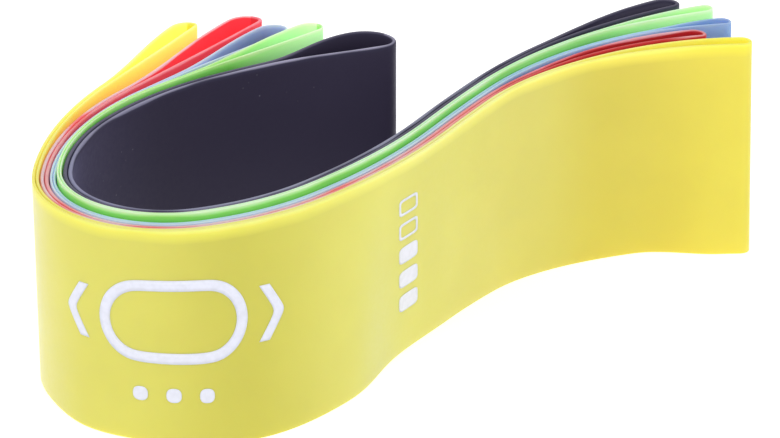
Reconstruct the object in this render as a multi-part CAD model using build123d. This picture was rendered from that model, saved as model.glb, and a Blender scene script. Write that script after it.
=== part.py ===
from build123d import *
import math
import os
from dataclasses import dataclass

# A set of five latex mini loop bands, stacked flat side by side and stood on edge.
# Each band is one closed loop of thin sheet, 12 in long when pressed flat and about 2 in wide.
# Pressed flat, a loop is a strip of two layers that ends in two soft teardrop eyes.
# The five strips run together round one bend and fan apart at both ends.
# Millimetres, +Z up, all the lower edges at Z = 0, the origin below the middle of the whole set.

# Driving dimensions
LAYER_GAP = 0.15            # between the two layers of one band
BAND_GAP = 0.30             # between neighbouring bands where they run together
EYE_NOSE = 1.15             # length of an eye's round nose over its half height
STATION_STEP = 3.0          # spacing of the outline points along a strip
NOSE_STEPS = 6              # outline points round each quarter of a nose
WALL_FACES = 12             # faces that the sheet's surface is made in, each side

# The middle line of the stack: tangent arcs, each a length and a turn in degrees (left positive).
# It starts on the long leg and runs to the front, round the bend and up the short leg.
STACK_START = (27.4, 23.2)
STACK_HEADING = 236.5
STACK_ARCS = ((34, 4), (43, -17), (29, -27), (25, -54), (22, -53), (37, -39))


@dataclass
class End:
    """One free end of a strip: where it leaves the stack, its run-out arcs and its eye."""

    leaves_at: float        # distance along the stack's middle line
    run_out: tuple          # two tangent arcs from there to the tip, each (length, turn)
    eye_length: float
    swell_out: float        # how far the outer layer stands off, beyond the flat strip
    swell_in: float         # the same for the inner layer


@dataclass
class Band:
    """One loop band: its sheet thickness, its width and its two ends."""

    name: str
    wall: float
    width: float
    long_end: End
    short_end: End


# From the outside of the bend to the inside
BANDS = (
    Band("yellow_band", 0.70, 50.8,
         End(15, ((32.6, -28.4), (38, -29.5)), 50, 1.2, 1.6),
         End(158, ((45, -25), (38.5, 1)), 40, 3.2, 0.4)),
    Band("red_band", 0.85, 50.4,
         End(16, ((27.9, -17.9), (37.3, -30.1)), 50, 0.2, 2.1),
         End(158, ((43, -32), (50.4, 2)), 50, 4.2, 0.8)),
    Band("blue_band", 0.55, 50.5,
         End(18, ((9.9, -1.9), (67.4, -46.6)), 20, 0.7, 1.6),
         End(163, ((39, -31), (48, 0)), 36, 3.4, 1.5)),
    Band("green_band", 0.45, 52.2,
         End(24, ((13.6, -2.2), (68.5, -38.5)), 33, 1.3, 1.2),
         End(168, ((34, -31), (50.8, -0.5)), 40, 3.0, 1.3)),
    Band("black_band", 1.00, 51.8,
         End(25, ((16.7, -2.3), (62.8, -29)), 40, 0.7, 2.7),
         End(185, ((32, -24), (45, -10.2)), 32, 6.2, 2.2)),
)


def walk(pose, length, turn):
    """Follow one tangent arc from a pose (x, y, heading in degrees) and give the pose at its end."""
    x, y, heading = pose
    before = math.radians(heading)
    after = math.radians(heading + turn)
    if abs(turn) < 1e-6:
        return x + length * math.cos(before), y + length * math.sin(before), heading
    radius = length / math.radians(turn)
    across = radius * (math.sin(after) - math.sin(before))
    along = radius * (math.cos(before) - math.cos(after))
    return x + across, y + along, heading + turn


def pose_at(start, arcs, distance):
    """Give the pose that lies the distance along a chain of tangent arcs."""
    pose = start
    for length, turn in arcs:
        step = min(distance, length)
        pose = walk(pose, step, turn * step / length)
        distance -= step
        if distance <= 0:
            break
    return pose


def stack_offsets():
    """Give each band's distance from the stack's middle line, outside of the bend positive."""
    depths = [2 * band.wall + LAYER_GAP for band in BANDS]
    face = (sum(depths) + BAND_GAP * (len(BANDS) - 1)) / 2
    offsets = []
    for depth in depths:
        offsets.append(face - depth / 2)
        face -= depth + BAND_GAP
    return offsets


def strip_line(band, offset):
    """Give a strip's start pose, at the tip of its long end, and its chain of arcs to the other tip."""
    stacked = []
    passed = 0.0
    for length, turn in STACK_ARCS:
        first = max(band.long_end.leaves_at, passed)
        last = min(band.short_end.leaves_at, passed + length)
        passed += length
        if last > first:
            part_turn = turn * (last - first) / length
            stacked.append((last - first - offset * math.radians(part_turn), part_turn))
    x, y, heading = pose_at((*STACK_START, STACK_HEADING), STACK_ARCS, band.long_end.leaves_at)
    x -= offset * math.sin(math.radians(heading))
    y += offset * math.cos(math.radians(heading))
    backwards = (x, y, heading + 180)
    for length, turn in band.long_end.run_out:
        backwards = walk(backwards, length, turn)
    start = (backwards[0], backwards[1], backwards[2] - 180)
    long_run = [(length, -turn) for length, turn in reversed(band.long_end.run_out)]
    return start, long_run + stacked + list(band.short_end.run_out)


def nose_length(swell, rest):
    """Give the length of an eye's round nose."""
    return EYE_NOSE * (swell + rest)


def half_height(distance, eye_length, swell, rest):
    """Give a layer's distance from the strip's middle line: an elliptic nose, then a cosine tail."""
    nose = nose_length(swell, rest)
    if distance < nose:
        return (swell + rest) * math.sqrt(1 - (1 - distance / nose) ** 2)
    if distance < eye_length:
        return rest + swell * (1 + math.cos(math.pi * (distance - nose) / (eye_length - nose))) / 2
    return rest


def layer_points(band, start, arcs, side):
    """Give one layer's middle line from tip to tip; side is 1 for the outer layer, -1 for the inner."""
    rest = (band.wall + LAYER_GAP) / 2
    total = sum(length for length, turn in arcs)
    swells = [end.swell_out if side > 0 else end.swell_in for end in (band.long_end, band.short_end)]
    noses = [nose_length(swell, rest) for swell in swells]
    steps = [1 - math.cos(math.radians(90 * i / NOSE_STEPS)) for i in range(NOSE_STEPS)]
    count = round((total - sum(noses)) / STATION_STEP)
    spacing = (total - sum(noses)) / count
    stations = [noses[0] * step for step in steps]
    stations += [noses[0] + spacing * i for i in range(count + 1)]
    stations += [total - noses[1] * step for step in reversed(steps)]
    points = []
    for station in stations:
        x, y, heading = pose_at(start, arcs, station)
        height = max(half_height(station, band.long_end.eye_length, swells[0], rest),
                     half_height(total - station, band.short_end.eye_length, swells[1], rest))
        if station < noses[0]:
            height = half_height(station, band.long_end.eye_length, swells[0], rest)
        if total - station < noses[1]:
            height = half_height(total - station, band.short_end.eye_length, swells[1], rest)
        out_x = -math.sin(math.radians(heading))
        out_y = math.cos(math.radians(heading))
        points.append((x + side * height * out_x, y + side * height * out_y))
    return points


def loop_line(band, offset):
    """Give the closed middle line of a band's sheet: the outer layer, then back along the inner one."""
    start, arcs = strip_line(band, offset)
    outer = layer_points(band, start, arcs, 1)
    inner = layer_points(band, start, arcs, -1)
    return outer + inner[-2:0:-1]


def directions(points):
    """Give the unit direction of travel at each point of a closed line, exact on a circle."""
    found = []
    for i, (x, y) in enumerate(points):
        back_x = x - points[i - 1][0]
        back_y = y - points[i - 1][1]
        next_x = points[(i + 1) % len(points)][0] - x
        next_y = points[(i + 1) % len(points)][1] - y
        back = math.hypot(back_x, back_y)
        ahead = math.hypot(next_x, next_y)
        along_x = back_x * ahead / back + next_x * back / ahead
        along_y = back_y * ahead / back + next_y * back / ahead
        size = math.hypot(along_x, along_y)
        found.append((along_x / size, along_y / size))
    return found


def shifted(points, distance):
    """Move each point of a closed line to its left, which is away from the inside of the loop."""
    return [(x - distance * v, y + distance * u) for (x, y), (u, v) in zip(points, directions(points))]


def closed_wire(points, centre):
    """Give a smooth closed wire through the points, as splines that meet in line, centred on the set."""
    places = [(x - centre[0], y - centre[1]) for x, y in points]
    along = directions(places)
    places.append(places[0])
    along.append(along[0])
    ends = [round(len(points) * i / WALL_FACES) for i in range(WALL_FACES + 1)]
    edges = []
    for first, last in zip(ends, ends[1:]):
        meets = [along[first], along[last]]
        edges.append(Spline(*places[first:last + 1], tangents=meets, tangent_scalars=[1, 1]))
    return Wire(edges)


def band_solid(band, line, centre):
    """Extrude the closed sheet outline to the band's width."""
    outside = closed_wire(shifted(line, band.wall / 2), centre)
    inside = closed_wire(shifted(line, -band.wall / 2), centre)
    return extrude(Face(outside, [inside]), amount=band.width, dir=(0, 0, 1))


loops = [loop_line(band, offset) for band, offset in zip(BANDS, stack_offsets())]
faces = [shifted(line, band.wall / 2) for band, line in zip(BANDS, loops)]
every_x = [x for face in faces for x, y in face]
every_y = [y for face in faces for x, y in face]
set_centre = ((min(every_x) + max(every_x)) / 2, (min(every_y) + max(every_y)) / 2)

os.makedirs("parts", exist_ok=True)
for band, line in zip(BANDS, loops):
    solid = band_solid(band, line, set_centre)
    export_step(solid, f"parts/{band.name}.step")
    around = sum(math.dist(line[i - 1], line[i]) for i in range(len(line)))
    sheet = around * band.wall * band.width
    print(f"{band.name}: loop {around:.1f} mm round, {solid.volume:.0f} mm3, sheet {sheet:.0f} mm3")
print(f"centre of the set {set_centre[0]:.2f}, {set_centre[1]:.2f}")
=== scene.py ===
"""A set of five latex loop bands, stacked as flat strips, bent into one wide U and stood on edge.

Each band is one closed loop of thin sheet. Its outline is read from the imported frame, drawn again as a
smooth closed curve, and a soft-edged wall is carried along it. The bands' feet lean out of the upright
together, and each band has a printed emblem and a strength mark on its outer face. Lengths are metres.
"""
import logging
from dataclasses import dataclass
from enum import Enum
from functools import partial
from typing import Callable

import bpy
import numpy as np
from mathutils import Euler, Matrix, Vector


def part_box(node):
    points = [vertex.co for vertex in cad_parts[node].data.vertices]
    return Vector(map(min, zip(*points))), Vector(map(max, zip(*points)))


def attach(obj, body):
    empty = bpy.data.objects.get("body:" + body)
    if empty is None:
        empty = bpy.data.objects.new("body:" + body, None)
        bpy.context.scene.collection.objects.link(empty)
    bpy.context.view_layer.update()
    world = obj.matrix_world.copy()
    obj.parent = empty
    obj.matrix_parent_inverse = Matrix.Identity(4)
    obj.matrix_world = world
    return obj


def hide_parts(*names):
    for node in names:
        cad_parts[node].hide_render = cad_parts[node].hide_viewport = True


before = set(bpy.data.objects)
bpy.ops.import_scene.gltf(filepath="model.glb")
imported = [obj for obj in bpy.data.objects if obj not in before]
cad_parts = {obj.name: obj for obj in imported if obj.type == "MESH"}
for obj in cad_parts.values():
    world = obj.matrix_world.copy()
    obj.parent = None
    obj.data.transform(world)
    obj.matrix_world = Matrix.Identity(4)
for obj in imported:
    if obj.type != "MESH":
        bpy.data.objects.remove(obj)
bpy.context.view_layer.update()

MM = 0.001
log = logging.getLogger("loop_bands")

Colour = tuple[int, int, int]
Stops = tuple[tuple[float, Colour], ...]
Flat = tuple[np.ndarray, np.ndarray]


def smooth_step(value: np.ndarray) -> np.ndarray:
    """Ease from 0 to 1 as the value goes from 0 to 1: 3v^2 - 2v^3, flat outside."""
    v = np.clip(value, 0.0, 1.0)
    return v * v * (3.0 - 2.0 * v)


def bell(value: np.ndarray, centre: float, spread: float) -> np.ndarray:
    """Give a bell curve of height 1: e to the minus ((value - centre) / spread) squared."""
    return np.exp(-(((value - centre) / spread) ** 2))


def linear(red: int, green: int, blue: int) -> tuple[float, float, float, float]:
    """Turn a screen colour, 0 to 255 each, into a linear colour with full alpha."""
    c = np.array([red, green, blue]) / 255.0
    values = np.where(c <= 0.04045, c / 12.92, ((c + 0.055) / 1.055) ** 2.4)
    return (float(values[0]), float(values[1]), float(values[2]), 1.0)


# ---------------------------------------------------------------- meshes


def make_piece(name: str, points: np.ndarray, faces: np.ndarray,
               marks: dict[str, np.ndarray] | None = None) -> bpy.types.Object:
    """Make a smooth-shaded mesh object from whole arrays.

    Args:
        name: The object's name.
        points: Vertex places, one row each.
        faces: Corner indices, one row of four for each face.
        marks: Named numbers for each vertex, which the finishes read.

    Returns:
        The object, linked to the scene, with its place in its mesh.
    """
    mesh = bpy.data.meshes.new(name)
    mesh.vertices.add(len(points))
    mesh.vertices.foreach_set("co", points.astype(np.float32).ravel())
    mesh.loops.add(faces.size)
    mesh.loops.foreach_set("vertex_index", faces.astype(np.int32).ravel())
    mesh.polygons.add(len(faces))
    mesh.polygons.foreach_set("loop_start", np.arange(0, faces.size, 4, dtype=np.int32))
    mesh.polygons.foreach_set("use_smooth", np.ones(len(faces), dtype=bool))
    mesh.update(calc_edges=True)
    for word, numbers in (marks or {}).items():
        mesh.attributes.new(word, "FLOAT", "POINT").data.foreach_set("value", numbers.astype(np.float32))
    mesh.validate()
    piece = bpy.data.objects.new(name, mesh)
    bpy.context.scene.collection.objects.link(piece)
    return piece


def grid_faces(rows: int, columns: int, close_rows: bool, close_columns: bool) -> np.ndarray:
    """Index the quads of a grid of vertices that is stored row by row.

    Args:
        rows: Vertices along the first parameter.
        columns: Vertices along the second parameter.
        close_rows: Whether the last row joins the first.
        close_columns: Whether the last column joins the first.

    Returns:
        One row of four indices for each quad.
    """
    i = np.arange(rows if close_rows else rows - 1)
    j = np.arange(columns if close_columns else columns - 1)
    ii, jj = np.meshgrid(i, j, indexing="ij")
    ni, nj = (ii + 1) % rows, (jj + 1) % columns
    quads = np.stack([ii * columns + jj, ni * columns + jj, ni * columns + nj, ii * columns + nj], axis=-1)
    return quads.reshape(-1, 4)


# ---------------------------------------------------------------- outlines


def boundary_loops(node: bpy.types.Object) -> list[np.ndarray]:
    """Read the closed outlines of a CAD node's top face.

    The triangles that lie in the highest plane are gathered. An edge that only one of them has is on an
    outline, and such edges are followed from end to end.

    Args:
        node: The CAD node's object.

    Returns:
        One array of plan points for each closed outline, the longest outline first.
    """
    mesh = node.data
    points = np.empty(len(mesh.vertices) * 3)
    mesh.vertices.foreach_get("co", points)
    points = points.reshape(-1, 3)
    mesh.calc_loop_triangles()
    corners = np.empty(len(mesh.loop_triangles) * 3, dtype=np.int64)
    mesh.loop_triangles.foreach_get("vertices", corners)
    corners = corners.reshape(-1, 3)
    on_top = points[:, 2] > points[:, 2].max() - 1e-6
    corners = corners[on_top[corners].all(axis=1)]
    keys, merged = np.unique(np.round(points[:, :2], 7), axis=0, return_inverse=True)
    corners = merged.reshape(-1)[corners]
    edges = np.sort(np.concatenate([corners[:, [0, 1]], corners[:, [1, 2]], corners[:, [2, 0]]]), axis=1)
    unique, counts = np.unique(edges, axis=0, return_counts=True)
    joined: dict[int, list[int]] = {}
    for a, b in unique[counts == 1]:
        joined.setdefault(int(a), []).append(int(b))
        joined.setdefault(int(b), []).append(int(a))
    loops = []
    while joined:
        start = next(iter(joined))
        chain = [start]
        while True:
            nearby = [n for n in joined.pop(chain[-1]) if n in joined]
            if not nearby:
                break
            chain.append(nearby[0])
        loops.append(keys[chain])
    return sorted(loops, key=len_around, reverse=True)


def len_around(points: np.ndarray) -> float:
    """Give the length round a closed line of points."""
    return float(np.linalg.norm(np.roll(points, -1, axis=0) - points, axis=1).sum())


def area_inside(points: np.ndarray) -> float:
    """Give the area inside a closed line of points, positive if it runs anticlockwise."""
    x, y = points[:, 0], points[:, 1]
    return float(0.5 * np.sum(x * np.roll(y, -1) - y * np.roll(x, -1)))


class ClosedCurve:
    """A smooth closed curve in plan: a periodic cubic spline through a line of points."""

    def __init__(self, points: np.ndarray) -> None:
        """Fit the spline.

        The slopes at the points solve the usual equation of a cubic spline, in which the second
        derivative is the same on both sides of each point, with the distance between points as parameter.

        Args:
            points: Plan points in order, without the first one again at the end.
        """
        if area_inside(points) < 0:
            points = points[::-1]
        first = int(np.argmax(points[:, 0]))
        self.points = np.roll(points, -first, axis=0)
        ahead = np.roll(self.points, -1, axis=0) - self.points
        step = np.linalg.norm(ahead, axis=1)
        before = np.roll(step, 1)
        count = len(step)
        matrix = np.zeros((count, count))
        row = np.arange(count)
        matrix[row, row] = 2.0 * (step + before)
        matrix[row, (row - 1) % count] = step
        matrix[row, (row + 1) % count] = before
        slope = ahead / step[:, None]
        right = 3.0 * (step[:, None] * np.roll(slope, 1, axis=0) + before[:, None] * slope)
        self.slopes = np.linalg.solve(matrix, right)
        self.starts = np.concatenate([[0.0], np.cumsum(step)])
        self.length = float(self.starts[-1])

    def at(self, distance: np.ndarray) -> np.ndarray:
        """Give the plan points at the distances round the curve, by Hermite's cubic between two points."""
        d = np.mod(distance, self.length)
        i = np.clip(np.searchsorted(self.starts, d, side="right") - 1, 0, len(self.points) - 1)
        j = (i + 1) % len(self.points)
        step = (self.starts[i + 1] - self.starts[i])[:, None]
        t = (d - self.starts[i])[:, None] / step
        first = (1 + 2 * t) * (1 - t) ** 2 * self.points[i] + t * (1 - t) ** 2 * step * self.slopes[i]
        second = t * t * (3 - 2 * t) * self.points[j] - t * t * (1 - t) * step * self.slopes[j]
        return first + second

    def outward(self, distance: np.ndarray) -> np.ndarray:
        """Give the unit vectors that point out of the curve, a quarter turn right of its direction."""
        reach = 0.02 * MM
        along = self.at(distance + reach) - self.at(distance - reach)
        along /= np.linalg.norm(along, axis=1)[:, None]
        return np.stack([along[:, 1], -along[:, 0]], axis=1)

    def stations(self, count: int, bend_reach: float) -> np.ndarray:
        """Share out stations round the curve, closer together where it bends.

        A station's spacing goes down as 1 / (1 + reach times curvature). The curvature is a running mean
        of the turn between fine steps.

        Args:
            count: How many stations.
            bend_reach: The reach in metres: a bend of that radius gets twice as many.

        Returns:
            The stations' distances round the curve.
        """
        fine_steps, window = 6000, 41
        fine = np.linspace(0.0, self.length, fine_steps + 1)
        out = self.outward(fine)
        turn = np.linalg.norm(np.roll(out, -1, axis=0) - out, axis=1)
        turn[-1] = turn[0]
        wrapped = np.concatenate([turn[-window:-1], turn, turn[1:window]])
        smooth = np.convolve(wrapped, np.ones(window) / window, mode="same")[window - 1:1 - window]
        weight = 1.0 + bend_reach * smooth / (fine[1] - fine[0])
        total = np.concatenate([[0.0], np.cumsum((weight[1:] + weight[:-1]) / 2)])
        return np.interp(np.arange(count) / count * total[-1], total, fine)

    def front_at(self, x: float) -> float:
        """Give the distance round the curve of its foremost point with this x."""
        fine_steps, reach = 12000, 0.1 * MM
        fine = np.linspace(0.0, self.length, fine_steps + 1)[:-1]
        places = self.at(fine)
        near = np.abs(places[:, 0] - x) < reach
        return float(fine[near][np.argmin(places[near, 1])])


@dataclass(frozen=True)
class Lean:
    """How the feet of the bands stand out of line with their upper edges, the same for the whole stack.

    A foot moves in Y by a push that depends on its X, and a little sideways at the left of the bend, so
    bands that lie side by side stay side by side. The push falls off in a straight line to nothing at the
    upper edge. It works on the long leg and the front of the bend and fades out towards the short leg.
    A band that slides up keeps its lean, so it only stands clear of the others above their upper edges.
    """

    full_height: float = 50.8 * MM
    front_out: float = 5.8 * MM
    front_x: float = -28.5 * MM
    front_spread: float = 21.0 * MM
    leg_in: float = 9.6 * MM
    leg_x: float = 4.5 * MM
    leg_spread: float = 26.0 * MM
    kink_x: float = -4.6 * MM
    kink_softness: float = 1.9 * MM
    end_out: float = 4.2 * MM
    end_x: float = 54.0 * MM
    end_run: float = 20.0 * MM
    bend_in: float = 3.6 * MM
    bend_x: float = -80.5 * MM
    bend_spread: float = 7.0 * MM
    side_in: float = 1.1 * MM
    side_spread: float = 12.0 * MM
    divide_slope: float = 0.72
    divide_height: float = 27.6 * MM
    divide_blend: float = 8.0 * MM

    def apply(self, points: np.ndarray) -> np.ndarray:
        """Move points as the rubber leans.

        Args:
            points: Places with the bands upright.

        Returns:
            The places with the bands leaning.
        """
        x, y, z = points[:, 0], points[:, 1], points[:, 2]
        push = -self.front_out * bell(x, self.front_x, self.front_spread)
        rise = 1.0 / (1.0 + np.exp(-(x - self.kink_x) / self.kink_softness))
        push += self.leg_in * bell(x, self.leg_x, self.leg_spread) * rise
        push -= self.end_out * smooth_step((x - self.end_x) / self.end_run)
        push += self.bend_in * bell(x, self.bend_x, self.bend_spread)
        behind = y - self.divide_slope * x - self.divide_height
        share = 1.0 - smooth_step((behind + self.divide_blend) / (2.0 * self.divide_blend))
        down = 1.0 - z / self.full_height
        side = self.side_in * bell(x, self.bend_x, self.side_spread)
        return np.stack([x + side * down, y + push * share * down, z], axis=1)


# ---------------------------------------------------------------- finishes, with painted light and shade


class Nodes:
    """A short hand for building a material's node tree."""

    def __init__(self, name: str) -> None:
        """Start a material with a shader and its output."""
        self.material = bpy.data.materials.new(name)
        self.material.use_nodes = True
        self.tree = self.material.node_tree
        self.tree.nodes.clear()
        self.output = self.tree.nodes.new("ShaderNodeOutputMaterial")
        self.shader = self.tree.nodes.new("ShaderNodeBsdfPrincipled")
        self.link(self.shader.outputs["BSDF"], self.output.inputs["Surface"])

    def link(self, source: bpy.types.NodeSocket, target: bpy.types.NodeSocket) -> None:
        """Join an output to an input."""
        self.tree.links.new(source, target)

    def node(self, kind: str, **values: object) -> bpy.types.Node:
        """Add a node and set its properties, or its inputs where a name is an input's."""
        made = self.tree.nodes.new(kind)
        for key, value in values.items():
            if hasattr(made, key):
                setattr(made, key, value)
            else:
                made.inputs[key.replace("_", " ")].default_value = value
        return made

    def object_place(self) -> bpy.types.NodeSocket:
        """Give the place on the object."""
        return self.node("ShaderNodeTexCoord").outputs["Object"]

    def mark(self, word: str) -> bpy.types.NodeSocket:
        """Give a named number of the mesh."""
        return self.node("ShaderNodeAttribute", attribute_name=word).outputs["Fac"]

    def math(self, operation: str, first: object, second: object = 0.0) -> bpy.types.NodeSocket:
        """Work out a number from two sockets or values."""
        made = self.node("ShaderNodeMath", operation=operation)
        for index, value in enumerate((first, second)):
            if isinstance(value, bpy.types.NodeSocket):
                self.link(value, made.inputs[index])
            else:
                made.inputs[index].default_value = value
        return made.outputs["Value"]

    def ramp(self, value: bpy.types.NodeSocket, stops: Stops) -> bpy.types.NodeSocket:
        """Turn a number into a colour by a smooth ramp of screen colours."""
        made = self.node("ShaderNodeValToRGB")
        ramp = made.color_ramp
        ramp.interpolation = "EASE"
        while len(ramp.elements) < len(stops):
            ramp.elements.new(0.5)
        while len(ramp.elements) > len(stops):
            ramp.elements.remove(ramp.elements[-1])
        for element, (position, colour) in zip(ramp.elements, stops):
            element.position = position
            element.color = linear(*colour)
        self.link(value, made.inputs["Fac"])
        return made.outputs["Color"]

    def grey(self, value: bpy.types.NodeSocket) -> bpy.types.NodeSocket:
        """Turn a number into a grey."""
        made = self.node("ShaderNodeCombineColor")
        for channel in made.inputs:
            self.link(value, channel)
        return made.outputs[0]

    def mix(self, share: object, first: object, second: object, blend: str = "MIX") -> bpy.types.NodeSocket:
        """Mix two colours by a share."""
        made = self.node("ShaderNodeMix", data_type="RGBA", blend_type=blend)
        for socket, value in ((made.inputs[0], share), (made.inputs[6], first), (made.inputs[7], second)):
            if isinstance(value, bpy.types.NodeSocket):
                self.link(value, socket)
            else:
                socket.default_value = value
        return made.outputs[2]

    def noise(self, scale: float, detail: float, rough: float = 0.5) -> bpy.types.NodeSocket:
        """Give a noise on the object's place, about one blob in 1 / scale metres."""
        made = self.node("ShaderNodeTexNoise", Scale=scale, Detail=detail, Roughness=rough)
        self.link(self.object_place(), made.inputs["Vector"])
        return made.outputs["Fac"]

    def spread(self, value: bpy.types.NodeSocket, low: float, high: float,
               to_low: float, to_high: float) -> bpy.types.NodeSocket:
        """Carry a number from one range to another, held at its ends."""
        made = self.node("ShaderNodeMapRange", clamp=True)
        for index, number in enumerate((low, high, to_low, to_high)):
            made.inputs[index + 1].default_value = number
        self.link(value, made.inputs[0])
        return made.outputs[0]


@dataclass(frozen=True)
class LatexFinish:
    """Satin coloured latex that lets light through its thin upper edge and its open ends.

    The stops give a colour against the way along the strip: 0 at the short leg's tip, 1 at the long leg's.
    The face stops are the latex's own colour with painted light and shade along the strip, the rim stops a
    painted highlight on the upper edge, and the glow stops a painted band of light just below it.
    The sheet's mesh carries three numbers: "run", the way along the strip; "layer", 1 on the strip's layer
    at the inside of the bend; "inward", 1 on the faces that look to the inside of the bend.

    The lights are a painted glow that stands in for lamp light coming through the thin rubber: short_light on
    inward faces near the short tip, long_light on the other faces near the long tip, edge_light below the
    upper
    edge. side_light is a painted sheen: the face's colour where it is seen edge on. near_rim, back_rim and
    front_light are for the layer at the outside of the bend: its rim's colour if that differs, with painted
    highlight and painted shade, and its share of the painted rim highlight and of long_light.
    """

    name: str
    # face: the latex's own colour with painted light and shade along the strip. rim: a painted highlight on
    # the upper edge. glow: a painted band of light just below it.
    face: Stops
    rim: Stops
    glow: Stops
    # The emission colours are a painted glow for light coming through the rubber; side_light is a painted
    # sheen.
    short_light: Colour = (0, 0, 0)
    long_light: Colour = (0, 0, 0)
    edge_light: Colour = (0, 0, 0)
    side_light: Colour | None = None
    near_rim: Stops | None = None
    front_light: float = 1.0
    light_reach: tuple[float, float] = (0.02, 0.32)
    glow_start: float = 0.4 * MM
    glow_depth: float = 3.4 * MM
    rim_depth: float = 1.0 * MM
    edge_wave: float = 0.3 * MM
    back_rim: float = 1.0
    roughness: float = 0.42
    cloud: float = 0.03
    side_power: float = 4.2
    see_in: float = 0.7
    see_in_scale: float = 2.0 * MM
    see_in_radius: tuple[float, float, float] = (1.0, 0.8, 0.5)
    specular: float = 0.35
    powder: float = 0.0

    def material(self, height: float) -> bpy.types.Material:
        """Make the material.

        The face colour changes along the strip, with painted light and shade, and is a little cloudy. Near
        the upper edge it turns to a painted band of light, and at the edge itself to a painted rim highlight.
        A painted glow stands in for the light that comes through where a loop opens.

        Args:
            height: The band's width, which is its height as it stands.

        Returns:
            The material.
        """
        n = Nodes(self.name)
        run = n.mark("run")
        cloudy = n.spread(n.noise(45.0, 2.0), 0.3, 0.7, 1.0 - self.cloud, 1.0 + self.cloud)
        # Face colour: the latex's own colour along the strip, with painted light and shade.
        face = n.mix(1.0, n.ramp(run, self.face), n.grey(cloudy), "MULTIPLY")
        if self.powder > 0.0:
            face = self.dusted(n, face)
        # Painted sheen: the face turns to side_light where it is seen edge on.
        if self.side_light is not None:
            facing = n.node("ShaderNodeLayerWeight", Blend=0.5).outputs["Facing"]
            face = n.mix(n.math("POWER", facing, self.side_power), face, linear(*self.side_light))
        split = n.node("ShaderNodeSeparateXYZ")
        n.link(n.object_place(), split.inputs[0])
        wave = n.spread(n.noise(60.0, 1.0), 0.3, 0.7, -self.edge_wave, self.edge_wave)
        down = n.math("SUBTRACT", height, n.math("ADD", split.outputs["Z"], wave))
        deep = n.spread(down, self.glow_start, self.glow_depth, 0.0, 1.0)
        # Painted band of light just below the upper edge.
        colour = n.mix(deep, n.ramp(run, self.glow), face)
        # Painted highlight on the upper edge; back_rim takes some of it off the outer layer, and near_rim
        # gives that layer its own painted highlight and painted shade.
        edge = n.math("MULTIPLY", n.spread(down, 0.0, self.rim_depth, 1.0, 0.0),
                      n.spread(n.mark("layer"), 0.0, 1.0, self.back_rim, 1.0))
        rim = n.ramp(run, self.rim)
        if self.near_rim is not None:
            rim = n.mix(n.mark("layer"), n.ramp(run, self.near_rim), rim)
        colour = n.mix(edge, colour, rim)
        n.link(colour, n.shader.inputs["Base Color"])
        # Painted glow in the emission, standing in for light through the thin rubber.
        n.link(self.painted_glow(n, run, deep), n.shader.inputs["Emission Color"])
        n.shader.inputs["Emission Strength"].default_value = 1.0
        rough = n.spread(n.noise(900.0, 3.0), 0.3, 0.7, self.roughness - 0.05, self.roughness + 0.07)
        n.link(rough, n.shader.inputs["Roughness"])
        bump = n.node("ShaderNodeBump", Strength=0.12, Distance=0.05 * MM)
        n.link(n.noise(1600.0, 4.0, 0.6), bump.inputs["Height"])
        n.link(bump.outputs[0], n.shader.inputs["Normal"])
        n.shader.inputs["Subsurface Weight"].default_value = self.see_in
        n.shader.inputs["Subsurface Radius"].default_value = self.see_in_radius
        n.shader.inputs["Subsurface Scale"].default_value = self.see_in_scale
        n.shader.inputs["Specular IOR Level"].default_value = self.specular
        return n.material

    def painted_glow(self, n: Nodes, run: bpy.types.NodeSocket, deep: bpy.types.NodeSocket) -> bpy.types.NodeSocket:
        """Give the painted glow that stands in for light coming through the thin latex.

        Args:
            n: The material's nodes.
            run: The way along the strip.
            deep: 0 at the upper edge and 1 below the glow.

        Returns:
            The glow's colour.
        """
        near, far = self.light_reach
        inward = n.mark("inward")
        light = n.mix(deep, linear(*self.edge_light), linear(0, 0, 0))
        share = n.math("MULTIPLY", n.spread(run, near, far, 1.0, 0.0), inward)
        light = n.mix(share, light, linear(*self.short_light))
        outward = n.math("SUBTRACT", 1.0, inward)
        share = n.math("MULTIPLY", n.spread(run, 1.0 - far, 1.0 - near, 0.0, 1.0), outward)
        share = n.math("MULTIPLY", share, n.spread(n.mark("layer"), 0.0, 1.0, self.front_light, 1.0))
        return n.mix(share, light, linear(*self.long_light))

    def dusted(self, n: Nodes, face: bpy.types.NodeSocket) -> bpy.types.NodeSocket:
        """Scatter fine pale specks of dusting powder over a colour."""
        cells = n.node("ShaderNodeTexVoronoi", Scale=420.0)
        n.link(n.object_place(), cells.inputs["Vector"])
        patch = n.spread(n.noise(60.0, 2.0), 0.55, 0.70, 0.0, self.powder)
        speck = n.math("MULTIPLY", n.spread(cells.outputs["Distance"], 0.03, 0.11, 1.0, 0.0), patch)
        dust = linear(190, 192, 205)
        return n.mix(speck, face, dust)


@dataclass(frozen=True)
class InkFinish:
    """A pale, slightly glossy film of printing ink."""

    name: str = "pale_ink"
    colour: Colour = (232, 234, 250)
    roughness: float = 0.35

    def material(self) -> bpy.types.Material:
        """Make the material: one colour, a little worn in small spots."""
        n = Nodes(self.name)
        worn = n.spread(n.noise(700.0, 3.0), 0.35, 0.65, 0.93, 1.0)
        n.link(n.mix(1.0, linear(*self.colour), n.grey(worn), "MULTIPLY"), n.shader.inputs["Base Color"])
        n.shader.inputs["Roughness"].default_value = self.roughness
        return n.material


# ---------------------------------------------------------------- bands


class BandKind(Enum):
    """The five bands of the set, from the outside of the bend to the inside."""

    YELLOW = "yellow"
    RED = "red"
    BLUE = "blue"
    GREEN = "green"
    BLACK = "black"


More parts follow.
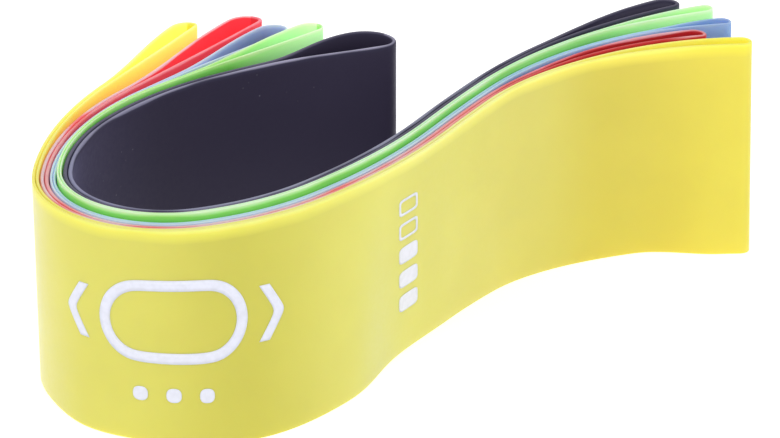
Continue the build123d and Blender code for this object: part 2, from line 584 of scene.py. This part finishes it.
@dataclass
class LoopBand:
    """One latex loop: its sheet and the print on its outer face."""

    kind: BandKind
    finish: LatexFinish
    strength: int
    lean: Lean
    stations: int = 900
    face_rows: int = 17
    corner_steps: int = 4
    corner_share: float = 0.42
    bend_reach: float = 5.0 * MM

    def __post_init__(self) -> None:
        """Read the sheet's outline, width and thickness from the frame."""
        self.node = f"{self.kind.value}_band"
        low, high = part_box(self.node)
        self.low, self.height = low.z, high.z - low.z
        outer, inner = boundary_loops(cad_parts[self.node])
        between = abs(abs(area_inside(outer)) - abs(area_inside(inner)))
        self.wall = between / ((len_around(outer) + len_around(inner)) / 2)
        self.curve = ClosedCurve(outer)

    def place(self, distance: np.ndarray, depth: np.ndarray, z: np.ndarray) -> np.ndarray:
        """Give places in the sheet.

        Args:
            distance: Distances round the outer outline.
            depth: Depths below the outer face.
            z: Heights over the band's lower edge.

        Returns:
            The places, with the band's lean.
        """
        plan = self.curve.at(distance) - depth[:, None] * self.curve.outward(distance)
        return self.lean.apply(np.column_stack([plan, z + self.low]))

    def section(self) -> tuple[np.ndarray, np.ndarray]:
        """Give the sheet's cross-section as depths and heights: a tall rectangle with round corners."""
        radius = self.corner_share * self.wall
        angle = np.linspace(0.0, np.pi / 2, self.corner_steps + 1)
        rows = np.linspace(radius, self.height - radius, self.face_rows)[1:-1]
        round_in, round_up = radius * (1 - np.cos(angle)), radius * (1 - np.sin(angle))
        depth = np.concatenate([np.zeros(len(rows)), round_in, self.wall - round_in[::-1],
                                np.full(len(rows), self.wall), self.wall - round_in, round_in[::-1]])
        z = np.concatenate([rows, self.height - round_up, self.height - round_up[::-1],
                            rows[::-1], round_up, round_up[::-1]])
        return depth, z

    def build_sheet(self) -> bpy.types.Object:
        """Carry the cross-section round the outline and close it into one loop."""
        stations = self.curve.stations(self.stations, self.bend_reach)
        depth, z = self.section()
        s, d = np.meshgrid(stations, depth, indexing="ij")
        heights = np.broadcast_to(z, s.shape)
        points = self.place(s.ravel(), d.ravel(), heights.ravel())
        faces = grid_faces(len(stations), len(depth), True, True)
        share = s.ravel() / self.curve.length
        layer = (share < 0.5).astype(float)
        inward = np.abs(layer - d.ravel() / self.wall)
        marks = {"run": np.abs(1.0 - 2.0 * share), "layer": layer, "inward": inward}
        piece = make_piece(f"{self.kind.value}_sheet", points, faces, marks)
        piece.data.materials.append(self.finish.material(self.height + self.low))
        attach(piece, self.kind.value)
        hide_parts(self.node)
        return piece

    def build_prints(self, ink: bpy.types.Material) -> list[bpy.types.Object]:
        """Print the emblem and the strength mark on the outer face."""
        marks = [*Emblem().patches(), *StrengthMark(self.strength).patches()]
        pieces = []
        for index, patch in enumerate(marks):
            piece = self.print_patch(f"{self.kind.value}_{patch.name}", patch)
            piece.data.materials.append(ink)
            pieces.append(piece)
        return pieces

    def print_patch(self, name: str, patch: "InkPatch") -> bpy.types.Object:
        """Lay one patch of ink on the outer face.

        Args:
            name: The piece's name.
            patch: The patch on the flat sheet.

        Returns:
            A thin closed film, a little proud of the face.
        """
        centre = self.curve.front_at(patch.x)
        across, up = patch.grid()
        rows, columns = across.shape
        s = np.tile(centre + across.ravel(), 2)
        z = np.tile(patch.z + up.ravel(), 2)
        depth = np.repeat([-patch.proud, patch.sunk], rows * columns)
        points = self.place(s, depth, z)
        front = grid_faces(rows, columns, patch.closed, False)
        back = front[:, ::-1] + rows * columns
        edges = border_faces(rows, columns, patch.closed)
        piece = make_piece(name, points, np.concatenate([front, back, edges]))
        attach(piece, self.kind.value)
        return piece


def border_faces(rows: int, columns: int, closed: bool) -> np.ndarray:
    """Index the narrow quads that close a film round its border.

    Args:
        rows: Vertices of a layer along the first parameter.
        columns: Vertices of a layer along the second parameter.
        closed: Whether the rows run round, which leaves two borders instead of one.

    Returns:
        One row of four indices for each quad, from the front layer to the back one.
    """
    index = np.arange(rows * columns).reshape(rows, columns)
    if closed:
        rings = [index[:, 0][::-1], index[:, -1]]
    else:
        rings = [np.concatenate([index[0, :-1], index[:-1, -1], index[-1, :0:-1], index[:0:-1, 0]])]
    quads = []
    for ring in rings:
        after = np.roll(ring, -1)
        quads.append(np.stack([ring, ring + index.size, after + index.size, after], axis=1))
    return np.concatenate(quads)


@dataclass(frozen=True)
class InkPatch:
    """One patch of ink on the flat sheet, as a grid of places about its centre."""

    name: str
    x: float
    z: float
    grid: Callable[[], Flat]
    closed: bool = False
    proud: float = 0.03 * MM
    sunk: float = 0.03 * MM


def rounded_bar(width: float, height: float, power: float = 5.0, across: float = 0.0) -> Flat:
    """Give a bar with soft corners: a square grid pressed into the curve |x|^p + |y|^p = 1.

    Each point of the square keeps its direction and its share of the way from the centre to the border.

    Args:
        width: The bar's size sideways.
        height: Its size upwards.
        power: The curve's power p: 2 for an ellipse, more for squarer corners.
        across: How far the bar lies to the side.

    Returns:
        The grid's places, sideways and upwards.
    """
    side = np.linspace(-1, 1, 13)
    u, v = np.meshgrid(side, side, indexing="ij")
    reach = np.maximum(np.abs(u), np.abs(v))
    size = (np.abs(u) ** power + np.abs(v) ** power) ** (1.0 / power)
    share = np.where(size > 0, reach / np.maximum(size, 1e-9), 1.0)
    return u * share * width / 2 + across, v * share * height / 2


@dataclass(frozen=True)
class Emblem:
    """A plain sign for a stretched loop: a flat ring with a pointer at each end and a row of dots below."""

    x: float = -49.0 * MM
    z: float = 29.0 * MM
    ring_length: float = 34.0 * MM
    ring_height: float = 20.0 * MM
    ring_line: float = 2.6 * MM
    pointer_gap: float = 2.8 * MM
    pointer_length: float = 5.2 * MM
    pointer_height: float = 13.0 * MM
    ring_sharpness: float = 6.0
    pointer_softness: float = 0.02
    pointer_rise: float = 0.8
    pointer_line: float = 0.5
    dot: float = 3.4 * MM
    dot_drop: float = 17.5 * MM
    dot_pitch: float = 2.2
    dot_power: float = 2.5

    def ring(self) -> Flat:
        """Give the ring: a circle of radius r whose right and left halves are moved apart.

        The move is a soft step, tanh(sharpness times cosine of the turn), of half the length that is left.
        """
        turn = np.linspace(0.0, 2 * np.pi, 120, endpoint=False)
        radius = np.linspace(self.ring_height / 2 - self.ring_line, self.ring_height / 2, 4)
        t, r = np.meshgrid(turn, radius, indexing="ij")
        half = (self.ring_length - self.ring_height) / 2
        shift = half * np.tanh(self.ring_sharpness * np.cos(t)) / np.tanh(self.ring_sharpness)
        return r * np.cos(t) + shift, r * np.sin(t)

    def pointer(self, side: float) -> Flat:
        """Give a chevron that points outwards on one side.

        Its reach falls off from the middle as a soft |v|: the root of (v squared + softness).
        """
        u, v = np.meshgrid(np.linspace(0, 1, 5), np.linspace(-1, 1, 21), indexing="ij")
        tip = np.sqrt(1.0 + self.pointer_softness) - np.sqrt(v * v + self.pointer_softness)
        reach = self.ring_length / 2 + self.pointer_gap
        reach = reach + self.pointer_length * (tip * self.pointer_rise + u * self.pointer_line)
        up = v * self.pointer_height / 2
        return (side * reach, up) if side > 0 else (side * reach[::-1], up[::-1])

    def patches(self) -> list[InkPatch]:
        """List the emblem's patches of ink."""
        listed = [InkPatch("emblem_ring", self.x, self.z, self.ring, closed=True)]
        for side, word in ((1.0, "right"), (-1.0, "left")):
            listed.append(InkPatch(f"emblem_pointer_{word}", self.x, self.z, partial(self.pointer, side)))
        for step, word in ((-1, "left"), (0, "middle"), (1, "right")):
            shape = partial(rounded_bar, self.dot, self.dot, self.dot_power, step * self.dot_pitch * self.dot)
            listed.append(InkPatch(f"emblem_dot_{word}", self.x, self.z - self.dot_drop, shape))
        return listed


@dataclass(frozen=True)
class StrengthMark:
    """An upright scale of five blocks, filled up to the band's strength and open above."""

    filled: int
    x: float = 2.6 * MM
    z: float = 26.0 * MM
    blocks: int = 5
    width: float = 7.0 * MM
    block_height: float = 4.4 * MM
    pitch: float = 6.4 * MM
    line: float = 0.7 * MM
    open_power: float = 6.0

    def open_block(self) -> Flat:
        """Give an open block's line: borders of soft rectangles |x|^p + |y|^p = 1, one inside the next."""
        turn = np.linspace(0.0, 2 * np.pi, 72, endpoint=False)
        inset = np.linspace(self.line, 0.0, 3)
        t, i = np.meshgrid(turn, inset, indexing="ij")
        power = 2.0 / self.open_power
        c, s = np.cos(t), np.sin(t)
        across = np.sign(c) * np.abs(c) ** power * (self.width / 2 - i)
        up = np.sign(s) * np.abs(s) ** power * (self.block_height / 2 - i)
        return across, up

    def patches(self) -> list[InkPatch]:
        """List the scale's patches of ink, the lowest block first."""
        listed = []
        for block in range(self.blocks):
            z = self.z + (block - (self.blocks - 1) / 2) * self.pitch
            is_open = block >= self.filled
            shape = self.open_block if is_open else partial(rounded_bar, self.width, self.block_height)
            listed.append(InkPatch(f"strength_block_{block + 1}", self.x, z, shape, closed=is_open))
        return listed


# ---------------------------------------------------------------- studio


@dataclass(frozen=True)
class Studio:
    """A white table in an even white room, with soft lamps and a long lens."""

    aim: tuple[float, float, float] = (-1.60 * MM, -1.31 * MM, 25.4 * MM)
    pitch: float = 25.5
    distance: float = 2.247
    lens: float = 461.5
    table_half: float = 3.0
    table_drop: float = 0.02 * MM
    table_glow: float = 0.55
    room_light: float = 0.62

    def build_floor(self) -> bpy.types.Object:
        """Make the table top, just under the bands."""
        side = np.linspace(-self.table_half, self.table_half, 3)
        x, y = np.meshgrid(side, side, indexing="ij")
        points = np.column_stack([x.ravel(), y.ravel(), np.full(x.size, -self.table_drop)])
        floor = make_piece("table_top", points, grid_faces(3, 3, False, False))
        n = Nodes("white_table")
        n.shader.inputs["Base Color"].default_value = (0.93, 0.93, 0.93, 1.0)
        n.shader.inputs["Roughness"].default_value = 0.9
        n.shader.inputs["Specular IOR Level"].default_value = 0.1
        n.shader.inputs["Emission Color"].default_value = (1.0, 1.0, 1.0, 1.0)
        n.shader.inputs["Emission Strength"].default_value = self.table_glow
        floor.data.materials.append(n.material)
        return floor

    def build_lamp(self, name: str, place: tuple[float, float, float], size: float, power: float) -> None:
        """Hang a square soft lamp that faces the bands."""
        data = bpy.data.lights.new(name, "AREA")
        data.size = size
        data.energy = power
        lamp = bpy.data.objects.new(name, data)
        lamp.location = place
        lamp.rotation_euler = (Vector(self.aim) - Vector(place)).to_track_quat("-Z", "Y").to_euler()
        bpy.context.scene.collection.objects.link(lamp)

    def build_room(self) -> None:
        """Light the room evenly."""
        world = bpy.data.worlds.new("white_room")
        world.use_nodes = True
        background = world.node_tree.nodes["Background"]
        background.inputs["Color"].default_value = (1.0, 1.0, 1.0, 1.0)
        background.inputs["Strength"].default_value = self.room_light
        bpy.context.scene.world = world
        bpy.context.scene.view_settings.view_transform = "Standard"

    def build_camera(self) -> None:
        """Set the camera: it looks along +Y from a little above, through a long lens."""
        data = bpy.data.cameras.new("camera")
        data.lens = self.lens
        data.clip_end = 20.0
        camera = bpy.data.objects.new("camera", data)
        pitch = np.radians(self.pitch)
        back = Vector((0.0, -np.cos(pitch), np.sin(pitch))) * self.distance
        camera.location = Vector(self.aim) + back
        camera.rotation_euler = Euler((np.radians(90.0 - self.pitch), 0.0, 0.0))
        bpy.context.scene.collection.objects.link(camera)
        bpy.context.scene.camera = camera

    def build(self) -> None:
        """Build the whole studio."""
        self.build_camera()
        self.build_room()
        self.build_floor()
        self.build_lamp("key_lamp", (-0.5, -0.9, 1.1), 0.8, 3.0)
        self.build_lamp("fill_lamp", (0.9, -0.7, 0.7), 0.9, 1.5)
        self.build_lamp("back_lamp", (0.1, 1.0, 0.9), 0.9, 3.0)


# The colour stops carry painted light and shade: face stops lighten and darken along the strip where the
# faces turn to and from the lamps, rim stops are a painted highlight on the upper edge, the glow stops a
# painted band of light below it, and the emission colours a painted glow for light through the rubber.
FINISHES: dict[BandKind, LatexFinish] = {
    BandKind.YELLOW: LatexFinish(
        "yellow_latex_satin_painted_light",
        face=((0.0, (238, 222, 60)), (0.3, (238, 222, 96)), (0.4, (230, 220, 104)), (0.5, (214, 206, 88)),
              (0.6, (234, 224, 106)), (0.7, (222, 214, 96)), (0.82, (222, 212, 106)),
              (0.89, (218, 204, 84)), (1.0, (236, 220, 86))),
        rim=((0.0, (255, 250, 140)), (0.3, (255, 236, 110)), (0.45, (255, 250, 140)),
             (0.75, (255, 252, 160)), (1.0, (255, 246, 110))),
        glow=((0.0, (255, 245, 90)), (0.45, (255, 244, 96)), (0.7, (255, 248, 128)), (0.9, (255, 238, 100)),
              (1.0, (255, 240, 76))),
        short_light=(178, 178, 90), long_light=(120, 114, 40), edge_light=(58, 52, 25),
        side_light=(255, 248, 196), front_light=0.1, glow_depth=3.2 * MM),
    BandKind.RED: LatexFinish(
        "red_latex_satin_painted_light",
        # Painted shade: the red face darkens towards the long leg.
        face=((0.0, (255, 66, 74)), (0.33, (255, 96, 104)), (0.8, (205, 50, 58)), (1.0, (205, 40, 48))),
        rim=((0.0, (255, 140, 156)), (0.2, (255, 140, 150)), (0.33, (255, 166, 172)), (0.45, (230, 206, 216)),
             (0.62, (230, 196, 206)), (0.76, (255, 150, 156)), (0.86, (255, 132, 150)),
             (1.0, (255, 184, 196))),
        # Painted shade: the outer layer's rim turns dark red near the long tip.
        near_rim=((0.62, (230, 196, 206)), (0.76, (255, 150, 156)), (0.86, (212, 62, 66)),
                  (0.965, (205, 48, 54)), (1.0, (255, 190, 200))),
        glow=((0.0, (235, 60, 72)), (0.33, (255, 116, 120)), (0.76, (255, 130, 130)), (0.88, (205, 46, 52)),
              (1.0, (205, 46, 52))),
        short_light=(150, 40, 50), edge_light=(52, 28, 32), side_light=(255, 150, 158), rim_depth=0.35 * MM),
    BandKind.BLUE: LatexFinish(
        "blue_latex_satin_painted_light",
        face=((0.0, (124, 150, 190)), (0.5, (128, 160, 210)), (1.0, (124, 158, 216))),
        rim=((0.0, (206, 222, 255)), (0.4, (204, 228, 252)), (0.62, (206, 230, 246)), (0.9, (186, 218, 255)),
             (1.0, (150, 176, 222))),
        glow=((0.0, (166, 190, 234)), (0.6, (180, 208, 246)), (0.85, (160, 202, 255)),
              (1.0, (144, 178, 232))),
        short_light=(54, 66, 82), long_light=(26, 40, 72), edge_light=(56, 70, 84)),
    BandKind.GREEN: LatexFinish(
        "green_latex_satin_painted_light",
        face=((0.0, (140, 232, 126)), (0.1, (112, 208, 100)), (0.6, (112, 208, 92)), (1.0, (132, 226, 126))),
        rim=((0.0, (220, 255, 200)), (0.15, (190, 250, 160)), (0.4, (222, 255, 206)), (0.72, (220, 255, 216)),
             (1.0, (200, 255, 194))),
        glow=((0.0, (180, 255, 160)), (0.1, (150, 236, 118)), (0.6, (140, 228, 104)), (1.0, (170, 250, 150))),
        short_light=(160, 186, 156), long_light=(132, 146, 132), edge_light=(56, 92, 40),
        light_reach=(0.0, 0.10)),
    BandKind.BLACK: LatexFinish(
        "black_latex_satin_painted_light",
        face=((0.0, (66, 60, 84)), (0.2, (58, 52, 76)), (0.3, (64, 58, 88)), (0.36, (78, 74, 108)),
              (0.5, (60, 56, 84)), (0.8, (66, 62, 86)), (1.0, (98, 94, 116))),
        rim=((0.0, (180, 176, 204)), (0.3, (140, 138, 166)), (0.36, (140, 140, 172)), (0.6, (150, 152, 176)),
             (0.8, (124, 124, 146)), (0.9, (86, 82, 104)), (1.0, (96, 92, 112))),
        glow=((0.0, (68, 64, 90)), (1.0, (68, 64, 90))),
        # Painted shade: back_rim leaves little of the rim highlight on the outer layer.
        side_light=(120, 116, 152), glow_depth=1.2 * MM, rim_depth=0.35 * MM, back_rim=0.15,
        roughness=0.5, see_in=0.0, powder=0.5),
}
STRENGTHS: dict[BandKind, int] = {
    BandKind.GREEN: 1, BandKind.BLUE: 2, BandKind.YELLOW: 3, BandKind.RED: 4, BandKind.BLACK: 5,
}


def main() -> None:
    """Build the studio and the five bands, and report each piece."""
    logging.basicConfig(level=logging.INFO, format="%(name)s: %(message)s")
    Studio().build()
    ink = InkFinish().material()
    lean = Lean()
    for kind in BandKind:
        band = LoopBand(kind, FINISHES[kind], STRENGTHS[kind], lean)
        sheet = band.build_sheet()
        prints = band.build_prints(ink)
        log.info("%s: %.1f mm round, %.2f mm thick, %d faces, %d prints", sheet.name,
                 band.curve.length / MM, band.wall / MM, len(sheet.data.polygons), len(prints))


if __name__ == "__main__":
    main()
